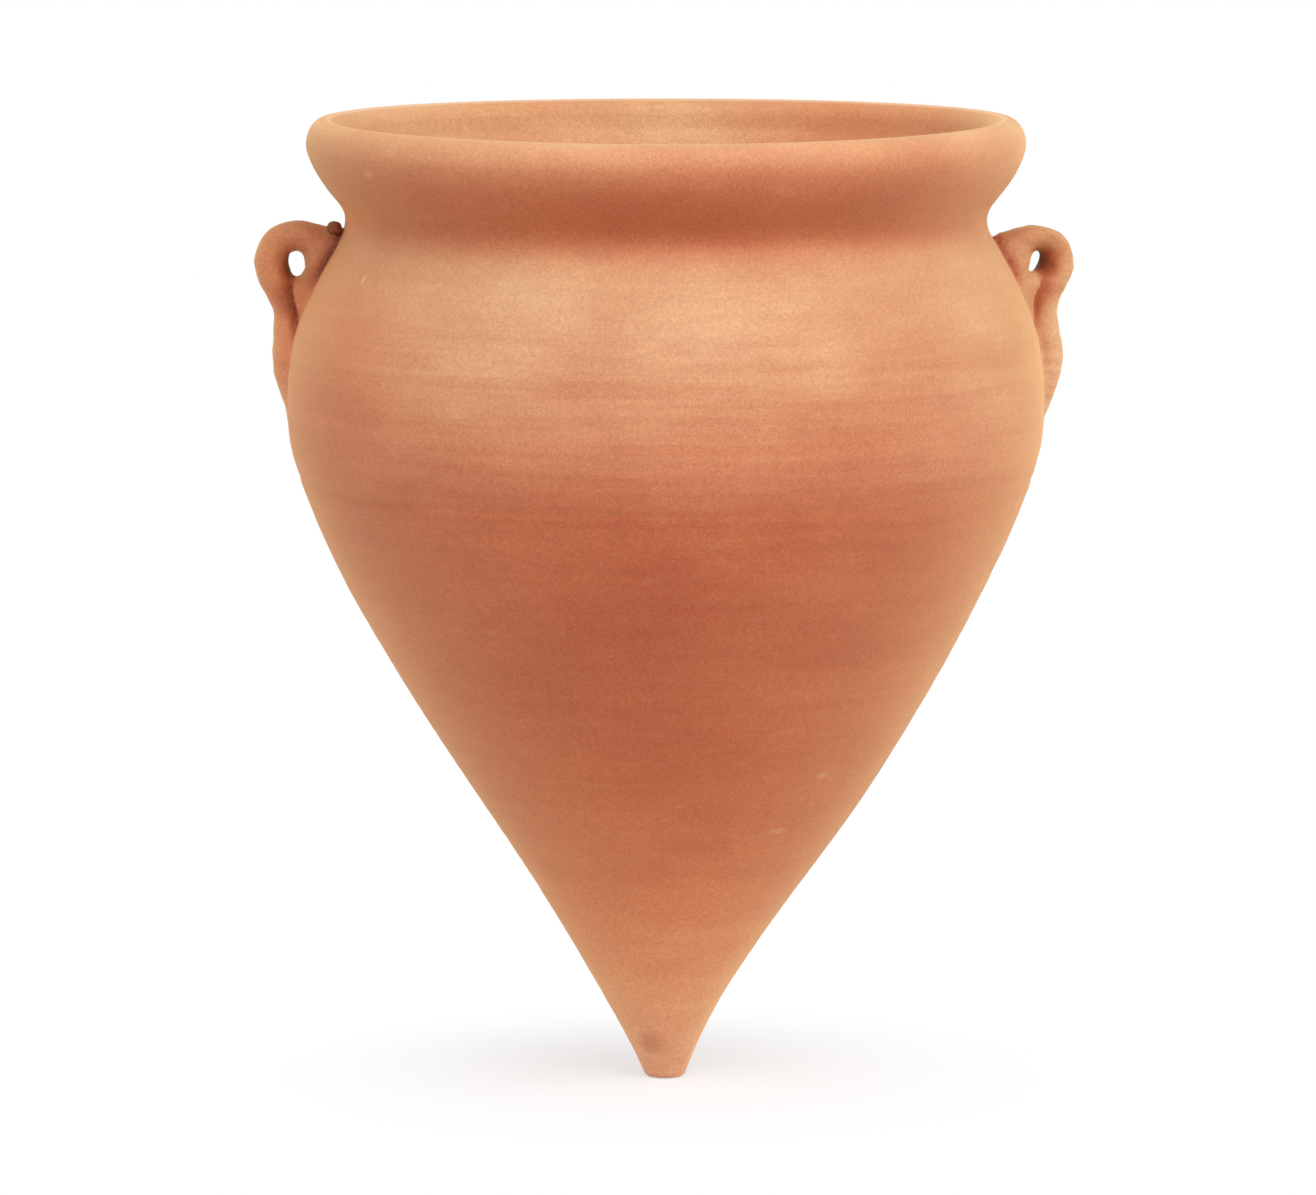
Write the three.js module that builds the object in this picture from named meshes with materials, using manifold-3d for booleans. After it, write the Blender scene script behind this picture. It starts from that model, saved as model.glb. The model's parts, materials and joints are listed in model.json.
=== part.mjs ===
// Pointed terracotta jar: a body thrown in stacked sections, a heavy rolled rim and two small ear handles.
// Millimetres, +Z up. The origin is the middle of the small flat that the jar stands on, and the two
// handles lie along -X and +X. Each thrown section is its own solid, seated on the one below by a
// stepped lap, and the handles and the clay wad lie against the wall.

import * as THREE from 'three';
import { mergeVertices } from 'three/addons/utils/BufferGeometryUtils.js';
import Module from 'manifold-3d';

const wasm = await Module();
wasm.setup();

// ---------------------------------------------------------------- driving dimensions, mm and degrees

// Heights, each counted from the one named before it
const jarHeight = 600; // floor to the crest of the rim
const neckHeight = 63; // crest down to the throat, the narrowest place
const shoulderHeight = 119; // throat down to the widest place of the belly
const waistRise = 154; // floor up to the straightest stretch of the cone

// Radii of the outside
const tipFlatRadius = 8.5; // flat that the jar stands on
const tipCornerRadius = 5; // rounding of the edge of that flat
const waistRadius = 103.5; // at the straightest stretch of the cone
const bellyRadius = 234.4;
const throatRadius = 198.3;
const throatFilletRadius = 18.5; // hollow corner under the rim
const rimOverhang = 23.5; // rim's widest place beyond the throat
const rimCrestInset = 11; // rim's crest inside its widest place
const rimCrownHeight = 15.5; // rim's widest place up to its crest

// Directions of the wall, from the jar's axis
const tipAngle = 21;
const waistAngle = 35;
const shoulderAngle = 30;
const flareAngle = 41;

// How far each direction is held from its end of a stretch before the wall curves away
const tipHold = 39;
const waistHoldBelow = 86;
const waistHoldAbove = 69;
const bellyHoldBelow = 62;
const bellyHoldAbove = 45;
const shoulderHold = 58;
const flareHold = 26;
const rimHold = 4;

// Clay thickness
const bodyWall = 13;
const lipWall = 23; // thickest place of the rolled rim
const floorHeight = 46; // solid point under the hollow
const floorDishDepth = 14; // depth of the rounded inner floor

// Seams between the thrown sections
const footSeam = 62; // above the floor
const coneSeam = 205; // above the floor
const bellySeamDrop = 40; // below the widest place of the belly
const neckSeamDrop = 16; // below the throat
const rimSeamRise = 14; // above the throat
const lapHeight = 6; // height of the step that locates each section
const slipGap = 0.3; // clearance of the step, and of all that lies against the wall

const handleTurn = 2; // degrees that each handle stands round from the X axis, towards +Y
const strapThickness = 19;
const strapWidth = 27;
const leftHandle = { drop: 9.5, length: 112.5, reach: 36.5 };
const rightHandle = { drop: 13.8, length: 113.2, reach: 35 };

// Where a strap's middle runs, and its section, as shares of these sizes. A handle's drop is how far
// its highest place lies below the throat. down is a share of its length from there, and out is a
// share of its reach from the wall.
const leftStrap = [
  { down: 0.129, out: -0.192, thick: 1.16, wide: 1.33 },
  { down: 0.049, out: 0.219, thick: 1.05, wide: 1.22 },
  { down: 0, out: 0.685, thick: 0.97, wide: 1.07 },
  { down: 0.036, out: 1, thick: 1.03, wide: 1 },
  { down: 0.147, out: 0.932, thick: 1.08, wide: 1 },
  { down: 0.262, out: 0.616, thick: 1, wide: 0.96 },
  { down: 0.378, out: 0.329, thick: 0.95, wide: 0.93 },
  { down: 0.493, out: 0.156, thick: 0.92, wide: 0.93 },
  { down: 0.636, out: 0.06, thick: 1, wide: 1.04 },
  { down: 0.76, out: -0.036, thick: 0.97, wide: 1.11 },
  { down: 0.884, out: -0.178, thick: 0.89, wide: 1.04 },
  { down: 1, out: -0.301, thick: 0.79, wide: 0.81 },
];
const rightStrap = [
  { down: 0.143, out: -0.2, thick: 1.16, wide: 1.33 },
  { down: 0.055, out: 0.229, thick: 1, wide: 1.22 },
  { down: 0, out: 0.671, thick: 0.82, wide: 1.07 },
  { down: 0.034, out: 1, thick: 0.95, wide: 1 },
  { down: 0.138, out: 0.943, thick: 1.03, wide: 1 },
  { down: 0.249, out: 0.614, thick: 0.97, wide: 0.96 },
  { down: 0.355, out: 0.323, thick: 0.95, wide: 0.93 },
  { down: 0.461, out: 0.231, thick: 1, wide: 0.96 },
  { down: 0.602, out: 0.211, thick: 1.03, wide: 1.07 },
  { down: 0.726, out: 0.149, thick: 1, wide: 1.15 },
  { down: 0.859, out: -0.023, thick: 0.92, wide: 1.07 },
  { down: 1, out: -0.234, thick: 0.79, wide: 0.81 },
];

// Clay smeared down the shoulder inside each loop, in the same terms as the straps
const leftPad = [
  { down: 0.022, out: 0.082, thick: 1.05, wide: 1.33 },
  { down: 0.111, out: 0.178, thick: 0.84, wide: 1.26 },
  { down: 0.209, out: 0.192, thick: 0.84, wide: 1.15 },
  { down: 0.324, out: 0.082, thick: 0.68, wide: 1 },
  { down: 0.449, out: -0.055, thick: 0.53, wide: 0.81 },
];
const rightPad = [
  { down: 0.028, out: 0.057, thick: 1.05, wide: 1.33 },
  { down: 0.117, out: 0.114, thick: 0.84, wide: 1.26 },
  { down: 0.214, out: 0.157, thick: 0.79, wide: 1.15 },
  { down: 0.32, out: 0.086, thick: 0.68, wide: 1 },
  { down: 0.443, out: -0.057, thick: 0.53, wide: 0.81 },
];

// Wad of clay pressed in between the left handle and the neck
const wadRadius = 4.8;
const wadDrop = 4.6; // its middle below the throat
const wadStand = 5.2; // its middle out from the wall
const wadSide = -3; // its middle beside the X axis, towards +Y

// Facets: steps along each stretch of the outline, and around each round form
const roundSegments = 48;
const cornerSteps = 4; // tip's corner, inner floor and each half of the rim's crown
const footSteps = 4;
const lowerConeSteps = { outside: 5, inside: 3 };
const upperConeSteps = { outside: 6, inside: 4 };
const shoulderSteps = { outside: 9, inside: 6 };
const neckSteps = { outside: 6, inside: 4 };
const rimSteps = { outside: 5, inside: 4 };
const strapSegments = 14;
const strapStepsPerStation = 3;
const wadSegments = { around: 12, upwards: 8 };

// ---------------------------------------------------------------- heights and radii that follow

const throatHeight = jarHeight - neckHeight;
const bellyHeight = throatHeight - shoulderHeight;
const rimRadius = throatRadius + rimOverhang;
const crestRadius = rimRadius - rimCrestInset;
const rimWidestHeight = jarHeight - rimCrownHeight;
const bellySeam = bellyHeight - bellySeamDrop;
const neckSeam = throatHeight - neckSeamDrop;
const rimSeam = throatHeight + rimSeamRise;

// ---------------------------------------------------------------- the outline, x = radius, y = height

const radians = THREE.MathUtils.degToRad;

// Unit step up the wall where it leans out from the axis by the given angle
function upTheWall(degrees) {
  return new THREE.Vector2(Math.sin(radians(degrees)), Math.cos(radians(degrees)));
}

function stretch(start, startStep, startHold, end, endStep, endHold) {
  const leave = start.clone().addScaledVector(startStep, startHold);
  const arrive = end.clone().addScaledVector(endStep, -endHold);
  return new THREE.CubicBezierCurve(start, leave, arrive, end);
}

function outsideCurves() {
  const vertical = upTheWall(0);
  const waistStep = upTheWall(waistAngle);
  const waist = new THREE.Vector2(waistRadius, waistRise);
  const belly = new THREE.Vector2(bellyRadius, bellyHeight);
  const rimWidest = new THREE.Vector2(rimRadius, rimWidestHeight);
  const tipCorner = new THREE.EllipseCurve(
    tipFlatRadius, tipCornerRadius, tipCornerRadius, tipCornerRadius,
    -Math.PI / 2, -radians(tipAngle),
  );
  const throat = new THREE.EllipseCurve(
    throatRadius + throatFilletRadius, throatHeight, throatFilletRadius, throatFilletRadius,
    Math.PI + radians(shoulderAngle), Math.PI - radians(flareAngle), true,
  );
  return [
    tipCorner,
    stretch(tipCorner.getPoint(1), upTheWall(tipAngle), tipHold, waist, waistStep, waistHoldBelow),
    stretch(waist, waistStep, waistHoldAbove, belly, vertical, bellyHoldBelow),
    stretch(belly, vertical, bellyHoldAbove, throat.getPoint(0), upTheWall(-shoulderAngle), shoulderHold),
    throat,
    stretch(throat.getPoint(1), upTheWall(flareAngle), flareHold, rimWidest, vertical, rimHold),
  ];
}

const outside = outsideCurves();

// Radius of the outside at a height between the floor and the rim's widest place
function outerRadius(height) {
  const curve = outside.find((candidate) => height <= candidate.getPoint(1).y) ?? outside.at(-1);
  const halvings = 40;
  let below = 0;
  let above = 1;
  for (let step = 0; step < halvings; step += 1) {
    const middle = (below + above) / 2;
    if (curve.getPoint(middle).y < height) {
      below = middle;
    } else {
      above = middle;
    }
  }
  return curve.getPoint(above).x;
}

// Level distance through the wall: its thickness square to the surface, times how far the wall leans
function levelWall(height) {
  const reach = 0.5; // half the height over which the lean is taken
  const lean = (outerRadius(height + reach) - outerRadius(height - reach)) / (2 * reach);
  const lip = THREE.MathUtils.smoothstep(height, throatHeight, rimWidestHeight);
  const thickness = THREE.MathUtils.lerp(bodyWall, lipWall, lip);
  return thickness * Math.hypot(1, lean);
}

function innerRadius(height) {
  return outerRadius(height) - levelWall(height);
}

// Radius of the step between two sections, half-way through the wall
function lapRadius(height) {
  return outerRadius(height) - levelWall(height) / 2;
}

function heightsBetween(bottom, top, steps) {
  return Array.from({ length: steps + 1 }, (_, index) => THREE.MathUtils.lerp(bottom, top, index / steps));
}

function outsidePoints(bottom, top, steps) {
  return heightsBetween(bottom, top, steps).map((height) => new THREE.Vector2(outerRadius(height), height));
}

function insidePointsDown(top, bottom, steps) {
  return heightsBetween(top, bottom, steps).map((height) => new THREE.Vector2(innerRadius(height), height));
}

// The step left standing at the top of a section, from the outside inwards
function tongue(seam) {
  const top = seam + lapHeight - slipGap;
  return [new THREE.Vector2(lapRadius(seam), seam), new THREE.Vector2(lapRadius(seam), top)];
}

// The matching step cut into the foot of the next section, from the inside outwards
function rebate(seam) {
  const radius = lapRadius(seam) + slipGap;
  return [new THREE.Vector2(radius, seam + lapHeight), new THREE.Vector2(radius, seam)];
}

// ---------------------------------------------------------------- solids

function turn(points) {
  const geometry = new THREE.LatheGeometry(points, roundSegments);
  geometry.rotateX(Math.PI / 2);
  return geometry;
}

function turnRing(points) {
  return turn([...points, points[0].clone()]);
}

function toSolid(geometry) {
  const bare = new THREE.BufferGeometry();
  bare.setAttribute('position', geometry.getAttribute('position'));
  bare.setIndex(geometry.getIndex());
  const merged = mergeVertices(bare);
  return new wasm.Manifold(new wasm.Mesh({
    numProp: 3,
    vertProperties: new Float32Array(merged.getAttribute('position').array),
    triVerts: new Uint32Array(merged.getIndex().array),
  }));
}

function toGeometry(solid) {
  const { vertProperties, triVerts } = solid.getMesh();
  const geometry = new THREE.BufferGeometry();
  geometry.setAttribute('position', new THREE.BufferAttribute(vertProperties, 3));
  geometry.setIndex(new THREE.BufferAttribute(triVerts, 1));
  geometry.computeVertexNormals();
  return geometry;
}

// Solid point of the jar, with the rounded floor of the hollow in its top
function footTip() {
  const dishTop = floorHeight + floorDishDepth;
  const dish = new THREE.EllipseCurve(
    0, dishTop, innerRadius(dishTop), floorDishDepth, 0, -Math.PI / 2, true,
  );
  const tongueTop = footSeam + lapHeight - slipGap;
  return turn([
    new THREE.Vector2(0, 0),
    ...outside[0].getPoints(cornerSteps),
    ...outsidePoints(outside[0].getPoint(1).y, footSeam, footSteps).slice(1),
    ...tongue(footSeam),
    new THREE.Vector2(innerRadius(tongueTop), tongueTop),
    ...dish.getPoints(cornerSteps),
  ]);
}

// A thrown ring of wall between two seams
function section(bottomSeam, topSeam, steps) {
  const tongueTop = topSeam + lapHeight - slipGap;
  return turnRing([
    ...outsidePoints(bottomSeam, topSeam, steps.outside),
    ...tongue(topSeam),
    ...insidePointsDown(tongueTop, bottomSeam + lapHeight, steps.inside),
    ...rebate(bottomSeam),
  ]);
}

// The thick rolled rim, whose crown is two quarter ellipses that meet at the crest
function rolledRim() {
  const mouthRadius = innerRadius(rimWidestHeight);
  const outerCrown = new THREE.EllipseCurve(
    crestRadius, rimWidestHeight, rimCrestInset, rimCrownHeight, 0, Math.PI / 2,
  );
  const innerCrown = new THREE.EllipseCurve(
    crestRadius, rimWidestHeight, crestRadius - mouthRadius, rimCrownHeight, Math.PI / 2, Math.PI,
  );
  return turnRing([
    ...outsidePoints(rimSeam, rimWidestHeight, rimSteps.outside),
    ...outerCrown.getPoints(cornerSteps).slice(1),
    ...innerCrown.getPoints(cornerSteps).slice(1),
    ...insidePointsDown(rimWidestHeight, rimSeam + lapHeight, rimSteps.inside).slice(1),
    ...rebate(rimSeam),
  ]);
}

// A strap of oval section swept along its stations, which lie in the plane of the jar's axis.
// margin grows the section all round.
function sweptStrap(stations, handle, side, margin) {
  const places = stations.map(({ down, out }) => {
    const height = throatHeight - handle.drop - down * handle.length;
    return new THREE.Vector3(outerRadius(height) + out * handle.reach, 0, height);
  });
  const line = new THREE.CatmullRomCurve3(places);
  const steps = (stations.length - 1) * strapStepsPerStation;
  const positions = [];
  for (let step = 0; step <= steps; step += 1) {
    const along = step / steps;
    const place = line.getPoint(along);
    const ahead = line.getTangent(along);
    const from = Math.min(Math.floor(step / strapStepsPerStation), stations.length - 2);
    const share = step / strapStepsPerStation - from;
    const between = (size) => THREE.MathUtils.lerp(stations[from][size], stations[from + 1][size], share);
    const halfThick = between('thick') * strapThickness / 2 + margin;
    const halfWide = between('wide') * strapWidth / 2 + margin;
    for (let corner = 0; corner < strapSegments; corner += 1) {
      const angle = (corner / strapSegments) * 2 * Math.PI;
      const outwards = halfThick * Math.cos(angle);
      positions.push(
        side * (place.x - ahead.z * outwards),
        halfWide * Math.sin(angle),
        place.z + ahead.x * outwards,
      );
    }
  }
  const firstEnd = line.getPoint(0);
  const lastEnd = line.getPoint(1);
  positions.push(side * firstEnd.x, 0, firstEnd.z, side * lastEnd.x, 0, lastEnd.z);
  const geometry = new THREE.BufferGeometry();
  geometry.setAttribute('position', new THREE.Float32BufferAttribute(positions, 3));
  geometry.setIndex(strapFaces(steps, side));
  geometry.rotateZ(side * radians(handleTurn));
  return geometry;
}

function strapFaces(steps, side) {
  const faces = [];
  const addFace = (a, b, c) => faces.push(...(side > 0 ? [a, b, c] : [a, c, b]));
  const firstEnd = (steps + 1) * strapSegments;
  const lastRing = steps * strapSegments;
  for (let corner = 0; corner < strapSegments; corner += 1) {
    const next = (corner + 1) % strapSegments;
    for (let ring = 0; ring < lastRing; ring += strapSegments) {
      addFace(ring + corner, ring + strapSegments + next, ring + next);
      addFace(ring + corner, ring + strapSegments + corner, ring + strapSegments + next);
    }
    addFace(firstEnd, corner, next);
    addFace(firstEnd + 1, lastRing + next, lastRing + corner);
  }
  return faces;
}

// The jar's outside grown by the slip gap, which everything on the wall is cut by. The level growth is
// the gap on a wall that leans by 45 degrees, the most that this one does.
function wallCutter() {
  const points = [
    ...outsidePoints(coneSeam, bellySeam, upperConeSteps.outside),
    ...outsidePoints(bellySeam, neckSeam, shoulderSteps.outside).slice(1),
    ...outsidePoints(neckSeam, rimSeam, neckSteps.outside).slice(1),
    ...outsidePoints(rimSeam, rimWidestHeight, rimSteps.outside).slice(1),
  ];
  const grown = points.map((point) => new THREE.Vector2(point.x + slipGap * Math.SQRT2, point.y));
  const axisBottom = new THREE.Vector2(0, coneSeam);
  const axisTop = new THREE.Vector2(0, rimWidestHeight);
  return toSolid(turn([axisBottom, ...grown, axisTop]));
}

function handleSolid(strap, pad, handle, side, margin) {
  const ear = toSolid(sweptStrap(strap, handle, side, margin));
  return ear.add(toSolid(sweptStrap(pad, handle, side, margin)));
}

function lutingWad(leftEarGrown, cutter) {
  const height = throatHeight - wadDrop;
  const fromAxis = outerRadius(height) + wadStand;
  const ball = new THREE.SphereGeometry(wadRadius, wadSegments.around, wadSegments.upwards);
  ball.translate(-Math.sqrt(fromAxis ** 2 - wadSide ** 2), wadSide, height);
  return toGeometry(toSolid(ball).subtract(cutter).subtract(leftEarGrown));
}

// ---------------------------------------------------------------- fired clay

const clayRoughness = 0.9;

function clay(colour) {
  return new THREE.MeshStandardMaterial({ color: colour, roughness: clayRoughness, metalness: 0 });
}

function piece(name, geometry, colour) {
  const mesh = new THREE.Mesh(geometry, clay(colour));
  mesh.name = name;
  return mesh;
}

// ---------------------------------------------------------------- the jar

const cutter = wallCutter();
const leftEar = handleSolid(leftStrap, leftPad, leftHandle, -1, 0).subtract(cutter);
const rightEar = handleSolid(rightStrap, rightPad, rightHandle, 1, 0).subtract(cutter);
const leftEarGrown = handleSolid(leftStrap, leftPad, leftHandle, -1, slipGap);

const jar = new THREE.Group();
jar.add(
  piece('foot_tip', footTip(), 0xd08e6b),
  piece('lower_cone', section(footSeam, coneSeam, lowerConeSteps), 0xc47955),
  piece('upper_cone', section(coneSeam, bellySeam, upperConeSteps), 0xbb6b4b),
  piece('shoulder', section(bellySeam, neckSeam, shoulderSteps), 0xdc9a70),
  piece('neck_collar', section(neckSeam, rimSeam, neckSteps), 0xb8694a),
  piece('rolled_rim', rolledRim(), 0xe0a57c),
  piece('left_handle', toGeometry(leftEar), 0xc98a60),
  piece('right_handle', toGeometry(rightEar), 0xd49568),
  piece('left_luting_wad', lutingWad(leftEarGrown, cutter), 0x6d3a28),
);

export default jar;
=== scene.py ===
"""Dresses the pointed terracotta jar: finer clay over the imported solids, studio light and the camera.

Everything is in metres in the shared frame. The shapes are worked out in millimetres and turned into
metres where a mesh is made. Heights are above the floor, and angles run round the jar from +X to +Y.
"""

import json
import math

import bpy
import numpy as np
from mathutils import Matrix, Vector


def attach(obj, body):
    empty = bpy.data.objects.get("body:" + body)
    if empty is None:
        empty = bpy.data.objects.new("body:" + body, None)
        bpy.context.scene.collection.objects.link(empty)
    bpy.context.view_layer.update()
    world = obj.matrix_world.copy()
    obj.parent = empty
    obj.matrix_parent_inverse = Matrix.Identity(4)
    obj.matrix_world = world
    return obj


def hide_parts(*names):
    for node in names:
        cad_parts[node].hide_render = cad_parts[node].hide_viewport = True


MM = 0.001

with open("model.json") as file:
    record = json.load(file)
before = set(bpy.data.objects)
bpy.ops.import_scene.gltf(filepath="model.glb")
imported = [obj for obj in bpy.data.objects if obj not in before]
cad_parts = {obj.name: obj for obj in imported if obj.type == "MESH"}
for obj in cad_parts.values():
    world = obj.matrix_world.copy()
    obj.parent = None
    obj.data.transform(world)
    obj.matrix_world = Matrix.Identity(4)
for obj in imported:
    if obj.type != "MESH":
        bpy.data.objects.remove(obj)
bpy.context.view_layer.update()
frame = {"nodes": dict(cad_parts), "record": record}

# -------------------- the photograph's camera

PHOTO_TURN = math.radians(4.0)  # the jar stands turned by this, +X towards +Y, for the camera
CAMERA_PLACE = (-0.00495, -5.0, 0.93408)  # before that turn
CAMERA_TILT = math.radians(7.2084)  # below level
CAMERA_LENS = 221.86  # mm, on a 36 mm sensor


def turned(place):
    """A place that is given as the camera sees it, in the jar's own frame."""
    x, y, z = place
    cosine, sine = math.cos(PHOTO_TURN), math.sin(PHOTO_TURN)
    return Vector((x * cosine + y * sine, -x * sine + y * cosine, z))


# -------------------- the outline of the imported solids

RINGS = ["foot_tip", "lower_cone", "upper_cone", "shoulder", "neck_collar", "rolled_rim"]
SAME_PLACE = 0.02  # mm
LAP_GAP = 0.5  # mm, corners of the inside that lie closer belong to one step of a lap
ON_OUTSIDE = 0.1  # mm, how far a seam's corner may lie inside the smooth outside
LINE_SPACING = 0.5  # mm, of the smooth outline that the rings are taken from


def meridian(node):
    """Edges of the node's mesh that lie in the half plane y = 0, x > 0, as (radius, height) pairs."""
    mesh = frame["nodes"][node].data
    points = np.empty(len(mesh.vertices) * 3)
    mesh.vertices.foreach_get("co", points)
    points = points.reshape(-1, 3) / MM
    ends = np.empty(len(mesh.edges) * 2, int)
    mesh.edges.foreach_get("vertices", ends)
    ends = ends.reshape(-1, 2)
    in_plane = (np.abs(points[:, 1]) < SAME_PLACE) & (points[:, 0] > -SAME_PLACE)
    return points[ends[in_plane[ends].all(axis=1)]][:, :, [0, 2]]


def crossings(edges, height):
    """Radii at which the edges reach a height."""
    low = edges[:, :, 1].min(axis=1)
    high = edges[:, :, 1].max(axis=1)
    near = (low <= height + SAME_PLACE) & (high >= height - SAME_PLACE) & (high - low > SAME_PLACE)
    hit = edges[near]
    share = (height - hit[:, 0, 1]) / (hit[:, 1, 1] - hit[:, 0, 1])
    return hit[:, 0, 0] + np.clip(share, 0, 1) * (hit[:, 1, 0] - hit[:, 0, 0])


def smooth_line(points, spacing):
    """A Catmull-Rom line through rows of values, with a row about every spacing mm of the first two."""
    points = np.asarray(points, float)
    padded = np.vstack([2 * points[0] - points[1], points, 2 * points[-1] - points[-2]])
    line = []
    for a, b, c, d in zip(padded, padded[1:], padded[2:], padded[3:]):
        steps = max(1, math.ceil(math.hypot(*(c - b)[:2]) / spacing))
        share = np.arange(steps)[:, None] / steps
        bend = 2 * a - 5 * b + 4 * c - d
        line.append(0.5 * (2 * b + (c - a) * share + bend * share**2 + (3 * b - 3 * c + d - a) * share**3))
    return np.vstack([*line, points[-1:]])


ring_edges = {node: meridian(node) for node in RINGS}
all_edges = np.vstack(list(ring_edges.values()))
corners = np.unique(np.round(all_edges.reshape(-1, 2), 3), axis=0)
crest = corners[corners[:, 1].argmax()]
floor_middle = corners[(corners[:, 0] < SAME_PLACE) & (corners[:, 1] > SAME_PLACE)][0]


def wall_corners(outer):
    """Corners of the solids' section on the outer or on the inner side of the wall, bottom to top."""
    kept = []
    for radius, height in corners:
        radii = crossings(all_edges, height)
        if len(radii) == 0 or (not outer and height < floor_middle[1]):
            continue
        if abs(radius - (radii.max() if outer else radii.min())) < SAME_PLACE:
            kept.append((radius, height))
    return np.array(sorted(kept, key=lambda corner: corner[1]))


outer_corners = wall_corners(outer=True)
inner_corners = wall_corners(outer=False)
# Inside, each step of a lap leaves two corners close together, of which one is enough
inner_corners = inner_corners[np.append(np.diff(inner_corners[:, 1]) > LAP_GAP, True)]
wall_line = smooth_line(np.vstack([outer_corners, inner_corners[-2::-1]]), LINE_SPACING)
wall_line[:, 1] = np.minimum(wall_line[:, 1], crest[1])
wall_top = wall_line[:, 1].argmax()
outer_line = wall_line[: wall_top + 1]
inner_line = wall_line[: wall_top - 1 : -1]


def outer_base(height):
    """Radius of the solids' outside, made smooth."""
    return np.interp(height, outer_line[:, 1], outer_line[:, 0])


def seam_below(node):
    """Height at which the node's outer side begins."""
    ends = ring_edges[node].reshape(-1, 2)
    return min(height for radius, height in ends if radius > outer_base(height) - ON_OUTSIDE)


seams = {node: seam_below(node) for node in RINGS}

# -------------------- how the thrown wall departs from true

BELLY_LIMIT = 234.25  # mm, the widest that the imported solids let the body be
LEAN_HEIGHTS = [0, 23, 49, 72, 99, 126, 148, 175, 201, 239, 277, 307]
LEAN = [-0.6, -1.3, -2.1, -1.2, -0.1, 1.5, 2.5, 3.2, 2.9, 2.1, 1.3, 0.0]  # mm, to the photo's right
LEAN_EASING = 12  # mm of height over which the lean is eased, up and down
SADDLE = 1.7  # mm, how far the rim's front and back dip below its sides

# Bands that the thrower's fingers left on the outside: middle height, depth outwards, half width, in mm
BANDS = [
    (583, 0.25, 5),
    (540, -0.25, 4),
    (463, 0.16, 5),
    (456, -0.16, 4),
    (413, -0.22, 5),
    (397, 0.22, 7),
    (386, -0.10, 3),
    (seams["shoulder"] + 0.5, -0.42, 1.7),
    (372, 0.16, 4),
    (345, -0.10, 6),
    (321, -0.16, 3.5),
    (310, 0.10, 5),
    (271, -0.10, 5),
    (124, -0.10, 4),
]
BAND_SWAYS = [(1.2, 2, 1), (0.6, 5, 3)]  # mm up and down, times round, and how the bands' sways differ
FINE_RINGS = [(23.0, 0.07), (13.7, 0.055), (8.1, 0.04), (5.3, 0.022)]  # rise of a turn and depth, mm
FINE_FADE = (0.6, 0.4, 3, 60)  # middle and swing of their strength, times round, mm up for a radian
INNER_RINGS = [(9.5, 0.12, 1), (5.2, 0.07, 1), (31, 0.15, 2)]  # rise of a turn and depth in mm, and starts
HAND_WAVES = 14
WAVE_DEPTH = 0.10  # mm
WAVE_LOBES = (1, 9)  # from the fewest up to below this many
WAVE_CLIMB = 0.035  # radians for each mm up, at the most
OUTER_START, OUTER_FULL = 4, 24  # mm, the heights where the outside's marks begin and are full
INNER_START, INNER_FULL = 70, 100  # and the inside's
CREST_FADE = 12  # mm below the crest over which both die away
chance = np.random.default_rng(7)
hand_waves = [
    (
        chance.integers(*WAVE_LOBES),
        chance.uniform(-WAVE_CLIMB, WAVE_CLIMB),
        chance.uniform(0, 6.3),
        chance.uniform(0.4, 1),
    )
    for _ in range(HAND_WAVES)
]


def between(value, start, end):
    """0 at the start and before it, 1 at the end and past it, and straight in between."""
    return np.clip((value - start) / (end - start), 0, 1)


def lean_at(height):
    """How far the wall's middle stands to the photo's right."""
    steps = (-LEAN_EASING, 0, LEAN_EASING)
    return sum(np.interp(height + step, LEAN_HEIGHTS, LEAN) for step in steps) / len(steps)


def hand_marks(angle, height):
    """What throwing by hand adds to the outer radius, in mm."""
    out = np.zeros(np.broadcast(angle, height).shape)
    for lobes, climb, start, share in hand_waves:
        out = out + WAVE_DEPTH * share * np.cos(lobes * angle + climb * height + start)
    for middle, depth, spread in BANDS:
        sway = sum(swing * np.sin(angle * lobes + middle * shift) for swing, lobes, shift in BAND_SWAYS)
        out = out + depth * np.exp(-(((height - middle - sway) / spread) ** 2))
    fade_middle, fade_swing, fade_lobes, fade_rise = FINE_FADE
    for rise, depth in FINE_RINGS:
        fade = fade_middle + fade_swing * np.sin(angle * fade_lobes + rise + height / fade_rise)
        climb = 2 * math.pi * height / rise + angle
        out = out + depth * fade * np.sin(climb + rise)
    return out * between(height, OUTER_START, OUTER_FULL) * between(crest[1] - height, 0, CREST_FADE)


def inner_marks(angle, height):
    """Throwing lines on the inside of the wall, in mm."""
    climb = 2 * math.pi * height
    out = sum(depth * np.sin(climb / rise + starts * angle) for rise, depth, starts in INNER_RINGS)
    return out * between(height, INNER_START, INNER_FULL) * between(crest[1] - height, 0, CREST_FADE)


def leaned(radius, angle, height):
    """The radius with the wall's lean added, kept inside the solids' box."""
    return np.minimum(radius + lean_at(height) * np.cos(angle + PHOTO_TURN), BELLY_LIMIT)


def outer_radius(angle, height):
    """Radius of the finished outside below the rim, in mm."""
    return leaned(outer_base(height) + hand_marks(angle, height), angle, height)


def rim_dip(angle, height):
    """How far the saddle shape lowers the rim at a place, in mm. It fades out down to the throat."""
    share = between(height, seams["rolled_rim"], crest[1])
    return SADDLE * share**2 * np.sin(angle + PHOTO_TURN) ** 2


# -------------------- clay

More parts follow.
